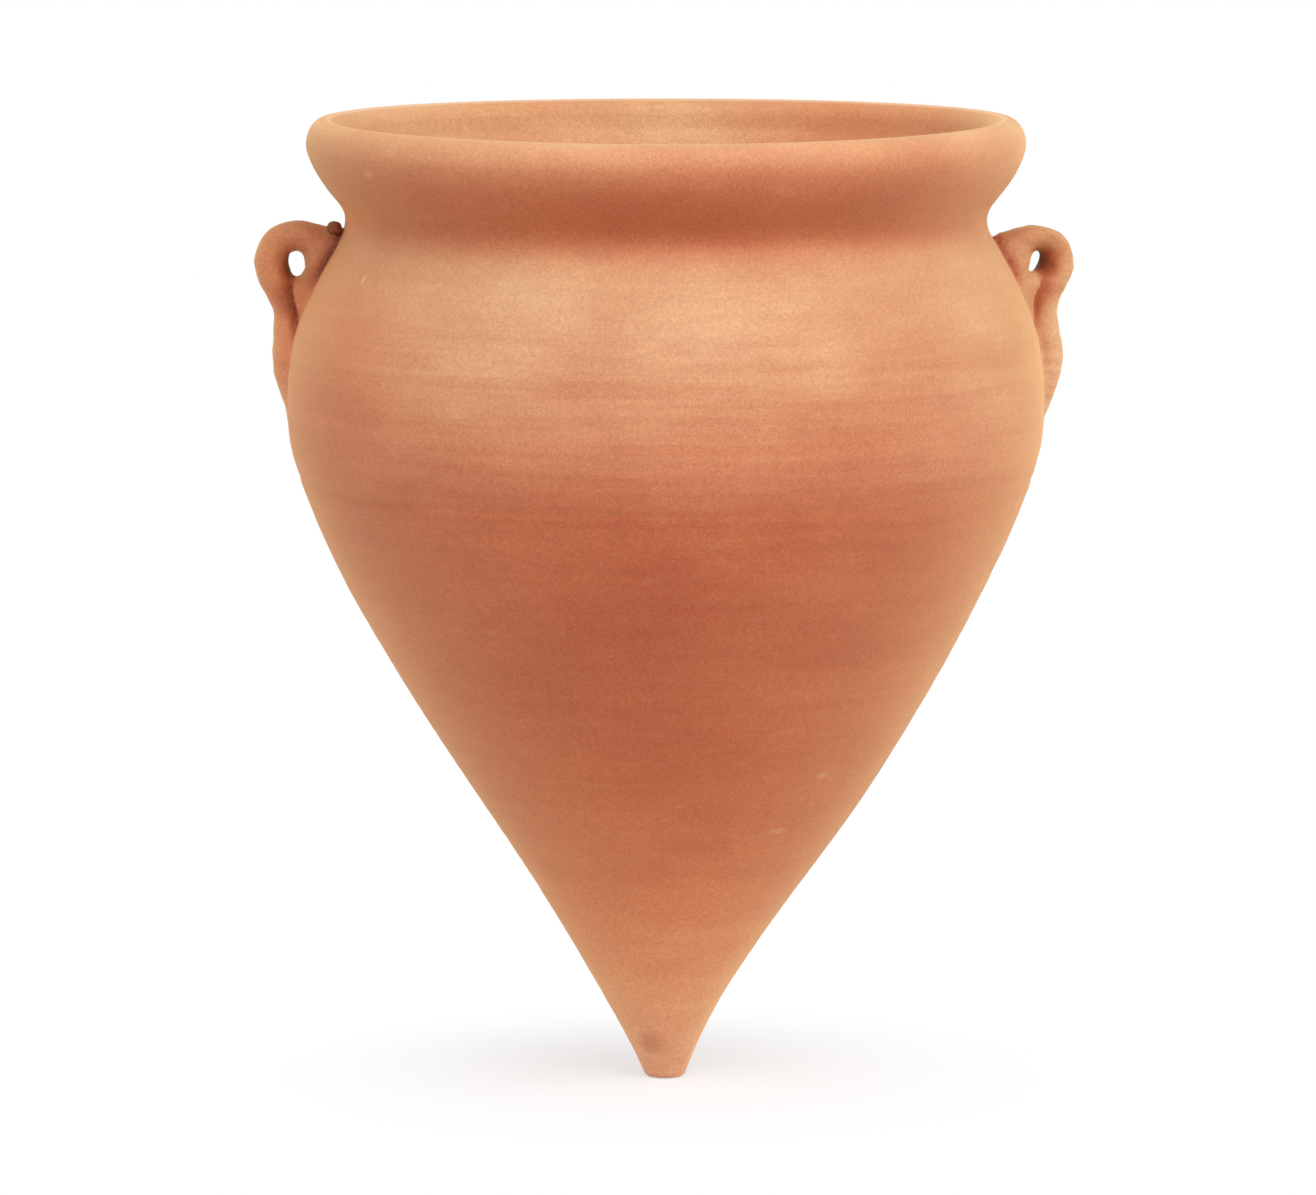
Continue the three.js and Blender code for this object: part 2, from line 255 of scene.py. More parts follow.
# Colours are linear. The ramp runs up the outside, under the mottling; its dark band round the
# throat, from about 530 to 580 mm, is painted shade under the rim.
CLAY_AND_SHADE_BY_HEIGHT = [
    (0, (0.680, 0.340, 0.200)),
    (20, (0.672, 0.310, 0.160)),
    (54, (0.668, 0.275, 0.120)),
    (90, (0.610, 0.195, 0.075)),
    (140, (0.500, 0.120, 0.038)),
    (190, (0.435, 0.088, 0.022)),
    (240, (0.430, 0.085, 0.024)),
    (300, (0.412, 0.082, 0.024)),
    (372, (0.412, 0.083, 0.026)),
    (384, (0.430, 0.100, 0.036)),
    (400, (0.455, 0.125, 0.052)),
    (426, (0.495, 0.172, 0.076)),
    (460, (0.537, 0.230, 0.110)),
    (506, (0.550, 0.275, 0.136)),
    (524, (0.530, 0.250, 0.122)),
    # painted shade under the rim, down to the throat and up again to about 580 mm
    (535, (0.440, 0.125, 0.046)),
    (546, (0.375, 0.068, 0.018)),
    (563, (0.385, 0.070, 0.018)),
    (575, (0.435, 0.115, 0.040)),
    (586, (0.510, 0.185, 0.082)),
    (597, (0.610, 0.295, 0.145)),
]
HANDLE_BY_HEIGHT = [(392, (0.60, 0.30, 0.155)), (480, (0.56, 0.265, 0.125)), (540, (0.53, 0.225, 0.100))]
INNER_CLAY = (0.640, 0.325, 0.155)
DUSTY_CLAY = (0.760, 0.480, 0.320)
PAINTED_SHADE_EDGE = (0.420, 0.112, 0.042)  # redder mid-tone of the painted shade round a crevice
# the darkest painted shade, deep in a crevice
PAINTED_SHADE_CLAY = (0.110, 0.022, 0.008)
GRIT_CLAY = (0.250, 0.080, 0.040)
STAIN_CLAY = (0.440, 0.130, 0.065)
# painted highlight along the lip's crest
LIP_HIGHLIGHT_CLAY = (0.880, 0.600, 0.430)
SHEEN_TINT = (1.00, 0.64, 0.30)
SHADE_ATTRIBUTE = "painted_shade"  # name of the vertices' painted shade, 0 to 1
INSIDE = "inside"  # and of their share in the inside of the jar

# The patterns' noises: turns per metre, along each axis by itself where there are three, then detail,
# roughness and distortion
PATTERNS = {
    "broad": (7, 3, 0.5, 0.0),
    "smears": ((15, 15, 34), 4, 0.6, 0.0),
    "streaks": ((5, 5, 120), 4, 0.65, 0.0),
    "wisps": ((60, 60, 150), 5, 0.65, 0.6),
    "fibres": (500, 3, 0.62, 1.5),
    "fine": (1500, 1, 0.5, 0.0),
    "torn": (380, 4, 0.65, 0.0),
}
# How firing, smearing hands and throwing shift the colour: the pattern, the values it runs between, and
# the factors there
TINTS = [
    ("broad", (0.32, 0.68), ((1.05, 1.12, 1.16), (0.95, 0.87, 0.82))),
    ("smears", (0.34, 0.66), ((0.97, 0.94, 0.93), (1.04, 1.09, 1.10))),
    ("streaks", (0.30, 0.70), ((0.95, 0.86, 0.82), (1.04, 1.10, 1.12))),
]
# Runs for Nodes.eased: two values of what is eased, then what it gives at them, if that isn't 0 and 1.
# Heights are in metres here.
STREAKS_LOW = (0.30, 0.40, 0.45, 1)  # strength of the streaks by height, from the cone up to the shoulder
STREAKS_HIGH = (0.46, 0.50, 1, 0.35)  # and from the shoulder to the neck
WISP_SHARE = (0.54, 0.76, 0, 0.06)  # of dusty clay, by the wisps
CURL_WIDTH = (0.004, 0.022, 1, 0)  # by the fibres' distance from CURL_LEVEL
CURL_BREAKS = (0.48, 0.58)  # by the fine pattern
FIBRE_LIGHT = (0.30, 0.70, 0.87, 1.13)
FINE_LIGHT = (0.3, 0.7, 0.96, 1.04)
PLACE_EDGE = (0.25, 1.0, 1, 0)  # by the share of the radii of a redder or paler place
MARK_EDGE = (0.9, 1.9)  # and of a mark's, made ragged
LIP_EDGE = (0.5 * MM, 3 * MM, 0.55, 0)  # by the distance from the circle where the lip's painted highlight is palest
LIP_TOP = (0.588, 0.594)  # by height
GRAIN_EDGE = (0.06, 0.17, 1, 0)  # by the share of a cell
GRIT_PICK = (0.95, 0.97)  # by a random number of each cell's own
GROG_PICK = (0.93, 0.96)  # and by another
# painted shade in the crevices: its redder mid-tone, then its darkest
SHADE_REDDENS = (0.02, 0.45)  # by the painted shade
SHADE_DARKENS = (0.34, 1.00, 0, 0.85)
SHEEN = (0.05, 0.6, 0.8, 0.1)
ROUGHNESS = (0.2, 0.8, 0.66, 0.56)  # by the fibres

CURL_LEVEL = 0.56  # value of the fibres along a curl
CURL_SHARE = 0.20  # of dusty clay in a curl
MARK_RAGS = 1.4
GRAIN_SCALE = 260  # cells per metre
GRAIN_SHARE = 0.30
SHADE_SWING = 0.9  # how much the torn pattern changes the painted shade, as a share of it
GLOSS = 0.38
SHEEN_ROUGHNESS = 0.5
RELIEF = {"fine": 0.2, "fibres": 0.8, "wisps": 0.6, "streaks": 0.6}
TORN_RELIEF = 2.5  # in the crevices only
BUMP_STRENGTH = 0.6
BUMP_DEPTH = 0.4  # mm

# Places made redder or paler: where the camera sees them, in mm, their radius along and up the
# wall, and by what their colour is multiplied. Some are painted light: the darker ones in front of
# the belly are painted shade, the paler ones low on both sides painted edge light, and the paler one
# on the front of the shoulder a painted highlight.
TONE_AND_LIGHT_PLACES = [
    ((-220, -70, 455), (160, 115), (1.00, 0.70, 0.60)),
    ((-190, -40, 545), (90, 16), (1.22, 1.10, 1.02)),
    # painted edge light, low on the left side
    ((-200, -40, 300), (110, 170), (1.08, 1.00, 0.96)),
    # painted edge light, low on the right side
    ((205, -50, 310), (130, 180), (1.09, 1.20, 1.10)),
    ((228, -70, 465), (80, 90), (0.95, 0.86, 0.68)),
    # painted highlight on the front of the shoulder
    ((40, -230, 475), (110, 60), (1.03, 1.10, 1.12)),
    # painted shade in front of the belly
    ((-10, -200, 330), (70, 75), (0.95, 0.85, 0.82)),
    # painted shade in front of the lower cone
    ((20, -150, 190), (70, 120), (0.96, 0.90, 0.88)),
    ((150, 150, 585), (150, 60), (0.95, 0.72, 0.66)),
    ((50, -20, 45), (60, 60), (1.02, 1.08, 1.10)),
]
LIP_HIGHLIGHT_INSET = 2.2  # mm, how far inside its crest the lip's painted highlight is palest
# Single marks: where the camera sees them, in mm, their radius along and up the wall, colour and share
MARKS = [
    ((-9.0, -20, 25), (12, 9), STAIN_CLAY, 0.55),
    ((66.0, -91, 170), (9, 3), DUSTY_CLAY, 0.26),
    ((97.0, -102, 205), (7, 3), DUSTY_CLAY, 0.26),
    ((-183.0, -105, 509), (2.5, 5), DUSTY_CLAY, 0.45),
    ((-184.0, -28, 330), (5, 9), STAIN_CLAY, 0.50),
    ((-176.0, -125, 575), (8, 4), DUSTY_CLAY, 0.25),
    ((-126.0, 150, 585), (4, 12), DUSTY_CLAY, 0.40),
]


class Nodes:
    """The node graph of one material, with short ways to add the kinds of node that clay needs."""

    def __init__(self, material):
        material.use_nodes = True
        self.tree = material.node_tree
        self.shader = self.tree.nodes["Principled BSDF"]
        self.place = self.add("ShaderNodeTexCoord").outputs["Object"]

    def add(self, kind, **settings):
        """A new node."""
        node = self.tree.nodes.new(kind)
        for name, value in settings.items():
            setattr(node, name, value)
        return node

    def join(self, value, socket):
        """Links an input to another node's output, or sets it to a plain value."""
        if isinstance(value, bpy.types.NodeSocket):
            self.tree.links.new(value, socket)
        else:
            socket.default_value = value

    def math(self, operation, *values):
        node = self.add("ShaderNodeMath", operation=operation)
        for value, socket in zip(values, node.inputs):
            self.join(value, socket)
        return node.outputs[0]

    def vector(self, operation, *values):
        """The result of vector maths, which for a length is a number."""
        node = self.add("ShaderNodeVectorMath", operation=operation)
        for value, socket in zip(values, node.inputs):
            self.join(value, socket)
        return node.outputs["Value" if operation == "LENGTH" else "Vector"]

    def noise(self, scale, detail, roughness, distortion):
        """Noise over the object, with one scale or one for each axis, in turns per metre."""
        node = self.add("ShaderNodeTexNoise")
        place = self.place
        if isinstance(scale, tuple):
            place, scale = self.vector("MULTIPLY", self.place, scale), 1.0
        self.join(place, node.inputs["Vector"])
        node.inputs["Scale"].default_value = scale
        node.inputs["Detail"].default_value = detail
        node.inputs["Roughness"].default_value = roughness
        node.inputs["Distortion"].default_value = distortion
        return node.outputs["Factor" if "Factor" in node.outputs else "Fac"]

    def cells(self, scale):
        """Distance from the middle of the nearest cell, and a random colour of that cell's own."""
        node = self.add("ShaderNodeTexVoronoi")
        self.join(self.place, node.inputs["Vector"])
        node.inputs["Scale"].default_value = scale
        return node.outputs["Distance"], node.outputs["Color"]

    def attribute(self, name):
        """A number that the mesh holds for each vertex."""
        return self.add("ShaderNodeAttribute", attribute_name=name).outputs["Fac"]

    def eased(self, value, low, high, to_low=0.0, to_high=1.0):
        """The value's run from low to high, as a smooth run from to_low to to_high."""
        node = self.add("ShaderNodeMapRange", interpolation_type="SMOOTHSTEP")
        self.join(value, node.inputs["Value"])
        for name, number in zip(("From Min", "From Max", "To Min", "To Max"), (low, high, to_low, to_high)):
            node.inputs[name].default_value = number
        return node.outputs["Result"]

    def far_from(self, place, radii):
        """How far a point lies from a place that the camera sees, 1 at the radii along and up the wall."""
        along, up = radii
        off = self.vector("SUBTRACT", self.place, turned(place) * MM)
        scaled = self.vector("MULTIPLY", off, (1 / (along * MM), 1 / (along * MM), 1 / (up * MM)))
        return self.vector("LENGTH", scaled)

    def mixed(self, share, first, second, blend="MIX"):
        """The first colour where the share is 0, and the second blended into it by the share."""
        node = self.add("ShaderNodeMix", data_type="RGBA", blend_type=blend)
        sockets = {socket.identifier: socket for socket in node.inputs}
        for name, value in zip(("Factor_Float", "A_Color", "B_Color"), (share, first, second)):
            self.join(value if not isinstance(value, tuple) else (*value, 1.0), sockets[name])
        return next(socket for socket in node.outputs if socket.identifier == "Result_Color")

    def ramp(self, value, stops):
        """Colours at their places between 0 and 1."""
        node = self.add("ShaderNodeValToRGB")
        node.color_ramp.interpolation = "B_SPLINE"
        elements = node.color_ramp.elements
        while len(elements) < len(stops):
            elements.new(0.5)
        for element, (place, colour) in zip(elements, stops):
            element.position = place
            element.color = (*colour, 1.0)
        self.join(value, node.inputs["Fac"])
        return node.outputs["Color"]


def tinted(nodes, pattern, height, colour):
    """Broad firing colour, hand-wide smears, and the streaks that throwing draws round the wall."""
    thrown = nodes.math("MULTIPLY", nodes.eased(height, *STREAKS_HIGH), nodes.eased(height, *STREAKS_LOW))
    for kind, run, factors in TINTS:
        strength = thrown if kind == "streaks" else 1.0
        tint = nodes.mixed(nodes.eased(pattern[kind], *run), *factors)
        colour = nodes.mixed(strength, colour, tint, blend="MULTIPLY")
    return colour


def grained(nodes, pattern, colour):
    """Pale wisps and curls, then the light and dark of the grain."""
    curls = nodes.math("ABSOLUTE", nodes.math("SUBTRACT", pattern["fibres"], CURL_LEVEL))
    unbroken = nodes.eased(pattern["fine"], *CURL_BREAKS)
    curls = nodes.math("MULTIPLY", nodes.eased(curls, *CURL_WIDTH), unbroken)
    colour = nodes.mixed(nodes.eased(pattern["wisps"], *WISP_SHARE), colour, DUSTY_CLAY)
    colour = nodes.mixed(nodes.math("MULTIPLY", curls, CURL_SHARE), colour, DUSTY_CLAY)
    light = nodes.eased(pattern["fibres"], *FIBRE_LIGHT)
    light = nodes.math("MULTIPLY", light, nodes.eased(pattern["fine"], *FINE_LIGHT))
    grey = nodes.add("ShaderNodeCombineColor")
    for socket in grey.inputs:
        nodes.join(light, socket)
    return nodes.mixed(1.0, colour, grey.outputs[0], blend="MULTIPLY")


def marked(nodes, wisps, colour):
    """The larger redder and paler places, some of them painted shade, edge light or highlight, then
    single scuffs and stains, each with a ragged edge.
    """
    for place, radii, factor in TONE_AND_LIGHT_PLACES:
        share = nodes.eased(nodes.far_from(place, radii), *PLACE_EDGE)
        colour = nodes.mixed(share, colour, factor, blend="MULTIPLY")
    for place, radii, mark_colour, share in MARKS:
        ragged = nodes.math("MULTIPLY_ADD", wisps, MARK_RAGS, nodes.far_from(place, radii))
        colour = nodes.mixed(nodes.eased(ragged, *MARK_EDGE, share, 0), colour, mark_colour)
    return colour


def lip_highlight(nodes, height):
    """How much painted highlight the lip's crest gets."""
    from_axis = nodes.vector("LENGTH", nodes.vector("MULTIPLY", nodes.place, (1, 1, 0)))
    off_palest = nodes.math("SUBTRACT", from_axis, (crest[0] - LIP_HIGHLIGHT_INSET) * MM)
    highlight_band = nodes.eased(nodes.math("ABSOLUTE", off_palest), *LIP_EDGE)
    return nodes.math("MULTIPLY", highlight_band, nodes.eased(height, *LIP_TOP))


def grains(nodes):
    """Where the small dark grit and the pale grog are."""
    distance, random_colour = nodes.cells(GRAIN_SCALE)
    pick = nodes.add("ShaderNodeSeparateColor")
    nodes.join(random_colour, pick.inputs[0])
    near = nodes.eased(distance, *GRAIN_EDGE)
    grit = nodes.math("MULTIPLY", nodes.eased(pick.outputs["Red"], *GRIT_PICK), near)
    grog = nodes.math("MULTIPLY", nodes.eased(pick.outputs["Green"], *GROG_PICK), near)
    return grit, grog


def bumpy_normal(nodes, pattern, grit, painted_shade):
    """The surface's normal with its fine relief."""
    relief = 0.0
    for kind, depth in RELIEF.items():
        relief = nodes.math("MULTIPLY_ADD", pattern[kind], depth, relief)
    relief = nodes.math("SUBTRACT", relief, grit)
    torn = nodes.math("MULTIPLY", pattern["torn"], painted_shade)
    bump = nodes.add("ShaderNodeBump")
    bump.inputs["Strength"].default_value = BUMP_STRENGTH
    bump.inputs["Distance"].default_value = BUMP_DEPTH * MM
    nodes.join(nodes.math("MULTIPLY_ADD", torn, TORN_RELIEF, relief), bump.inputs["Height"])
    return bump.outputs[0]


def clay(name, by_height):
    """Fired clay. Every piece has the same patterns in the same places, so they run on across seams."""
    material = bpy.data.materials.new(name)
    nodes = Nodes(material)
    axes = nodes.add("ShaderNodeSeparateXYZ")
    nodes.join(nodes.place, axes.inputs[0])
    height = axes.outputs["Z"]
    pattern = {kind: nodes.noise(*settings) for kind, settings in PATTERNS.items()}
    grit, grog = grains(nodes)
    # Painted shade in crevices, from the vertices' attribute, broken up by the torn pattern
    painted_shade = nodes.attribute(SHADE_ATTRIBUTE)
    swing = nodes.math("MULTIPLY_ADD", pattern["torn"], SHADE_SWING, -SHADE_SWING / 2)
    dark = nodes.math("ADD", painted_shade, nodes.math("MULTIPLY", swing, painted_shade))

    share_up = nodes.math("DIVIDE", height, crest[1] * MM)
    colour = nodes.ramp(share_up, [(level / crest[1], stop) for level, stop in by_height])
    colour = nodes.mixed(nodes.attribute(INSIDE), colour, INNER_CLAY)
    colour = tinted(nodes, pattern, height, colour)
    colour = grained(nodes, pattern, colour)
    # redder and paler places, some of them painted shade, edge light and highlight, then scuffs and stains
    colour = marked(nodes, pattern["wisps"], colour)
    # painted highlight along the lip's crest
    colour = nodes.mixed(lip_highlight(nodes, height), colour, LIP_HIGHLIGHT_CLAY)
    colour = nodes.mixed(nodes.math("MULTIPLY", grit, GRAIN_SHARE), colour, GRIT_CLAY)
    colour = nodes.mixed(nodes.math("MULTIPLY", grog, GRAIN_SHARE), colour, DUSTY_CLAY)
    # Painted shade: first its redder mid-tone, then its darkest
    colour = nodes.mixed(nodes.eased(dark, *SHADE_REDDENS), colour, PAINTED_SHADE_EDGE)
    colour = nodes.mixed(nodes.eased(dark, *SHADE_DARKENS), colour, PAINTED_SHADE_CLAY)

    sockets = nodes.shader.inputs
    nodes.join(colour, sockets["Base Color"])
    nodes.join(nodes.eased(pattern["fibres"], *ROUGHNESS), sockets["Roughness"])
    nodes.join(nodes.eased(dark, *SHEEN), sockets["Sheen Weight"])
    sockets["Sheen Roughness"].default_value = SHEEN_ROUGHNESS
    sockets["Sheen Tint"].default_value = (*SHEEN_TINT, 1)
    sockets["Specular IOR Level"].default_value = GLOSS
    nodes.join(bumpy_normal(nodes, pattern, grit, painted_shade), sockets["Normal"])
    return material


slot_of = {part["node"]: part["material_slot"] for part in frame["record"]["subparts"]}
handle_slot = slot_of["left_handle"]
clays = {
    slot: clay(slot, HANDLE_BY_HEIGHT if slot == handle_slot else CLAY_AND_SHADE_BY_HEIGHT)
    for slot in sorted(set(slot_of.values()))
}

# -------------------- the thrown wall

AROUND = 384
RING_SPACING = 2.4  # mm
FLOOR_EDGE_RISE = 0.1  # mm, where the inner run starts above the middle of the floor
SHARP_ANGLE = math.radians(50)


def stand_for(node, points, faces):
    """A new piece from points in mm, which takes the place of a CAD node."""
    mesh = bpy.data.meshes.new(node)
    mesh.from_pydata((np.asarray(points) * MM).tolist(), [], faces)
    mesh.shade_smooth()
    mesh.set_sharp_from_angle(angle=SHARP_ANGLE)
    mesh.materials.append(clays[slot_of[node]])
    obj = bpy.data.objects.new("clay_" + node, mesh)
    bpy.context.scene.collection.objects.link(obj)
    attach(obj, "root")
    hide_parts(node)
    return obj


def set_attribute(obj, name, values):
    """Gives each vertex its number, for Nodes.attribute."""
    obj.data.attributes.new(name, "FLOAT", "POINT").data.foreach_set("value", values)


def run_of(line, low, high):
    """The stretch of a smooth line between two heights, with points about RING_SPACING apart."""
    middle = line[(line[:, 1] > low + SAME_PLACE) & (line[:, 1] < high - SAME_PLACE)]
    ends = [(np.interp(height, line[:, 1], line[:, 0]), height) for height in (low, high)]
    run = np.vstack([ends[:1], middle, ends[1:]])
    length = np.append(0, np.cumsum(np.linalg.norm(np.diff(run, axis=0), axis=1)))
    at = np.linspace(0, length[-1], max(2, round(length[-1] / RING_SPACING)) + 1)
    return np.column_stack([np.interp(at, length, run[:, 0]), np.interp(at, length, run[:, 1])])


def lathe(node, outer, inner, open_at_axis=False):
    """A ring of wall: outer runs up its outside and inner down its inside, as (radius, height) in mm.
    One that is open at the axis gets flat caps there instead of a lower end face."""
    section = np.vstack([outer, inner])
    angles = np.linspace(0, 2 * math.pi, AROUND, endpoint=False)
    angle = np.broadcast_to(angles, (len(section), AROUND))
    height = np.broadcast_to(section[:, 1:], angle.shape)
    outside = (np.arange(len(section)) < len(outer))[:, None]
    marks = np.where(outside, hand_marks(angle, height), inner_marks(angle, height))
    radius = leaned(section[:, :1] + marks, angle, height)
    height = height - rim_dip(angle, height)
    points = np.stack([radius * np.cos(angle), radius * np.sin(angle), height], axis=-1).reshape(-1, 3)
    rows = len(section) - 1 if open_at_axis else len(section)
    row, column = np.meshgrid(np.arange(rows) * AROUND, np.arange(AROUND), indexing="ij")
    beside = (column + 1) % AROUND
    above = (row + AROUND) % (len(section) * AROUND)
    quads = np.stack([row + column, row + beside, above + beside, above + column], axis=-1)
    faces = quads.reshape(-1, 4).tolist()
    if open_at_axis:
        faces.append(list(range(AROUND))[::-1])
        faces.append(list(range(len(points) - AROUND, len(points))))
    obj = stand_for(node, points, faces)
    set_attribute(obj, INSIDE, np.repeat(~outside[:, 0], AROUND).astype(float))


for node, next_node in zip(RINGS, RINGS[1:] + [None]):
    low = seams[node]
    high = seams[next_node] if next_node else crest[1]
    at_foot = node == RINGS[0]
    inner_run = run_of(inner_line, floor_middle[1] + FLOOR_EDGE_RISE if at_foot else low, high)[::-1]
    # The rim's two runs meet in the crest, which the outer one already has
    inner_run = inner_run if next_node else inner_run[1:]
    lathe(node, run_of(outer_line, low, high), inner_run, open_at_axis=at_foot)

# -------------------- the handles

# A handle's own coordinates are u, level and outwards from the jar's axis, v, level and away from the
# camera, and the height, in mm. The camera sees v as depth, so the shapes are drawn in u and height.
LEFT, RIGHT = -1, 1  # the handle's side, as the camera sees it
HANDLE_TURN = math.radians(2.0)  # round from the X axis, towards +Y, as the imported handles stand
GRID = 0.7  # mm, the grain of the handles' field
GRID_LOW = (194.0, -26.0, 404.0)  # u, v, height
GRID_HIGH = (257.0, 28.0, 543.0)
STRAP_SPACING = 1.6  # mm, of the places along a strap's middle

# Outer edge of each strap from its root at the neck to its tail, where the camera sees it: distance
# beside the jar's axis and height, then full thickness, full width, and the twist in degrees, which
# faces the strap's inner side to the camera
LEFT_EDGE = [
    (194, 524.0, 23, 32, 0),
    (202, 530.0, 23, 32, 0),
    (209.5, 533.0, 22, 31, 0),
    (218, 535.2, 20, 29, 0),
    (228, 536.2, 18.6, 27, 4),
    (238.8, 534.4, 18.8, 26, 8),
    (247.9, 528.0, 19.2, 25, 10),
    (252.9, 518.5, 20.0, 25, 12),
    (253.8, 508.0, 20.2, 25, 12),
    (251.7, 498.0, 20.4, 25, 10),
    (246.5, 488.6, 19.4, 25, 6),
    (243.2, 480.0, 17.8, 25, 4),
    (242.7, 470.0, 17.0, 25, 2),
    (243.8, 453.0, 18.5, 26, 0),
    (242.2, 440.0, 17.5, 26, 0),
    (237.9, 427.6, 15, 24, 0),
    (233.3, 417.5, 13, 20, 0),
    (229.0, 407.0, 12, 14, 0),
]
RIGHT_EDGE = [
    (193, 519.5, 20, 30, 0),
    (202.4, 526.0, 20, 30, 0),
    (208.5, 529.3, 20, 30, 4),
    (216.0, 532.1, 18, 29, 10),
    (226.0, 533.6, 15, 28, 20),
    (237.0, 532.2, 13, 27, 30),
    (245.4, 526.6, 12, 28, 36),
    (249.8, 518.0, 12, 29, 40),
    (250.4, 508.0, 15, 31, 40),
    (247.2, 497.7, 18, 30, 30),
    (243.0, 488.5, 19, 28, 16),
    (241.6, 479.0, 18, 26, 6),
    (243.4, 468.0, 18, 27, 4),
    (245.5, 456.0, 19, 28, 0),
    (244.4, 444.0, 18, 28, 0),
    (240.7, 430.5, 16, 25, 0),
    (235.9, 418.5, 13, 19, 0),
    (230.4, 406.0, 12, 11, 0),
]
# Middle of the clay pushed down the shoulder inside each loop: u, height, half thickness, half width
LEFT_PAD = [
    (203, 520, 11.0, 17.0, 0),
    (211.5, 514, 11.0, 17.0, 0),
    (214.0, 505, 9.6, 16.5, 0),
    (219.0, 496, 8.6, 15.5, 0),
    (221.5, 486, 6.6, 13.5, 0),
    (223.5, 474, 4.6, 10.0, 0),
    (225.0, 462, 3.0, 7.0, 0),
]
RIGHT_PAD = [
    (204, 510, 10.0, 16.0, 0),
    (214.5, 511, 13.0, 17.0, 0),
    (216.0, 503, 11.0, 16.5, 0),
    (220.0, 493, 9.0, 15.0, 0),
    (223.0, 482, 6.6, 13.5, 0),
    (225.0, 470, 4.6, 10.0, 0),
    (226.5, 458, 3.0, 7.0, 0),
]
# The lump that closes each loop below its hole: u, v and height of its middle, then half sizes
LEFT_WEB = (227.6, 0.0, 490.5, 5.4, 9.5, 10.6)
RIGHT_WEB = (231.0, 1.0, 495.0, 8.0, 10.5, 8.6)
# The right loop is nearly shut. The slit left in it runs as the camera looks: u and height of its
# middle at v = 0, half width, half length, and its lean outwards at the top in degrees
RIGHT_SLIT = (230.3, 509.0, 2.4, 6.4, 24)
SIGHT_FALL = 0.085  # drop of the line of sight there, for each mm away from the camera
# Where painted shade lies inside each loop: u and height of the middle, then how far it spreads
LEFT_HOLLOW = (231.5, 508.0, 6.5, 10.0)
RIGHT_HOLLOW = (234.5, 508.5, 8.5, 8.5)

LOOP_BLEND = 6.0  # mm, how soft the join between strap and pad is beside the hole
GROOVE_BLEND = 3.5  # and in the groove below it
ROOT_BLEND = 2.6  # and between them and the wall, above ROOT_END
TAIL_BLEND = 5.0  # and below TAIL_START
SLIT_BLEND = 2.4  # and of the slit's mouth
ROOT_END = 505
TAIL_START = 470
SKIN_SINK = 0.08  # mm, how far the blended skin ends under the wall's own surface
SKIN_DEPTH = 2.5  # mm, how far a handle's clay reaches into the wall
SKIN_REACH = 9.0  # mm, how far the blended skin may spread from the handle
LOOP_HEIGHTS = (500, 512)  # mm, where the groove's blend ends and where the loop's is reached
LUMPS = [(19.0, 0.28), (8.5, 0.14)]  # length and depth of the dents all over the handles, mm
RAGS = (3.2, 0.50)  # and of the torn clay at the root
RAG_HEIGHTS = (488, 503)  # mm, where the torn clay begins and where it is full
RAG_REACH = 8  # mm, how far off the wall it goes
DENT_WAVES = 28  # how many waves a field of dents is made of
DENT_RANGE = (0.6, 1.5)  # their pace, as a share of what the dents' length asks
DENT_SCALE = 1.6  # what brings a field of them to about -1 to 1

# Painted shade in a handle's crevices. Pairs are where it begins and where it is full, in mm
OFF_WALL = (0.1, 0.8)  # off the wall
GROOVE_SPREAD = (1.5, 10.0)  # mm, how far the groove's darkness goes, low and high
GROOVE_WIDENS = (462, 492)  # heights
GROOVE_LEAST = 0.25  # share of the darkness in the lowest part of the groove
GROOVE_DEEPENS = (458, 478)
GROOVE_TOP = (508, 496)
PAD_SIDE = 0.6  # share of the darkness on the pad's side of the groove
PAD_SIDE_SPREAD = 1.2  # mm from the strap
PAD_SIDE_TOP = (498, 490)
TORN_SPREAD = 6.5  # mm from the wall
TORN_HEIGHTS = (490, 506)
HOLLOW_SPREAD = 2.5  # mm from the strap, where the hollow's darkness lies on the pad


def in_jar(u, v, side):
    """A handle's u and v as the jar's x and y."""
    cosine, sine = math.cos(HANDLE_TURN), math.sin(HANDLE_TURN)
    return side * (u * cosine - v * sine), u * sine + v * cosine


def at_handle(seen, height, side):
    """u and height of the place in a handle's middle plane that the camera sees at a distance beside
    the jar's axis and a height, both measured on the upright plane through the axis that faces it."""
    camera = np.array(CAMERA_PLACE) / MM
    x, y = in_jar(1, 0, side)
    level = x * math.cos(PHOTO_TURN) - y * math.sin(PHOTO_TURN)
    away = x * math.sin(PHOTO_TURN) + y * math.cos(PHOTO_TURN)
    u = side * seen / (level + away * (side * seen - camera[0]) / camera[1])
    return u, camera[2] + (1 - u * away / camera[1]) * (height - camera[2])


def strap_from(edge, side):
    """The smooth middle of a strap, as u, height, half thickness, half width and twist, from its outer
    edge as the camera sees it."""
    line = smooth_line(edge, STRAP_SPACING)
    line[:, 0], line[:, 1] = at_handle(line[:, 0], line[:, 1], side)
    line[:, 2:4] /= 2
    run = np.gradient(line[:, :2], axis=0)
    inwards = np.column_stack([run[:, 1], -run[:, 0]]) / np.linalg.norm(run, axis=1)[:, None]
    twist = np.radians(line[:, 4])
    reach = np.hypot(line[:, 2] * np.cos(twist), line[:, 3] * np.sin(twist))
    line[:, :2] += inwards * reach[:, None]
    return line


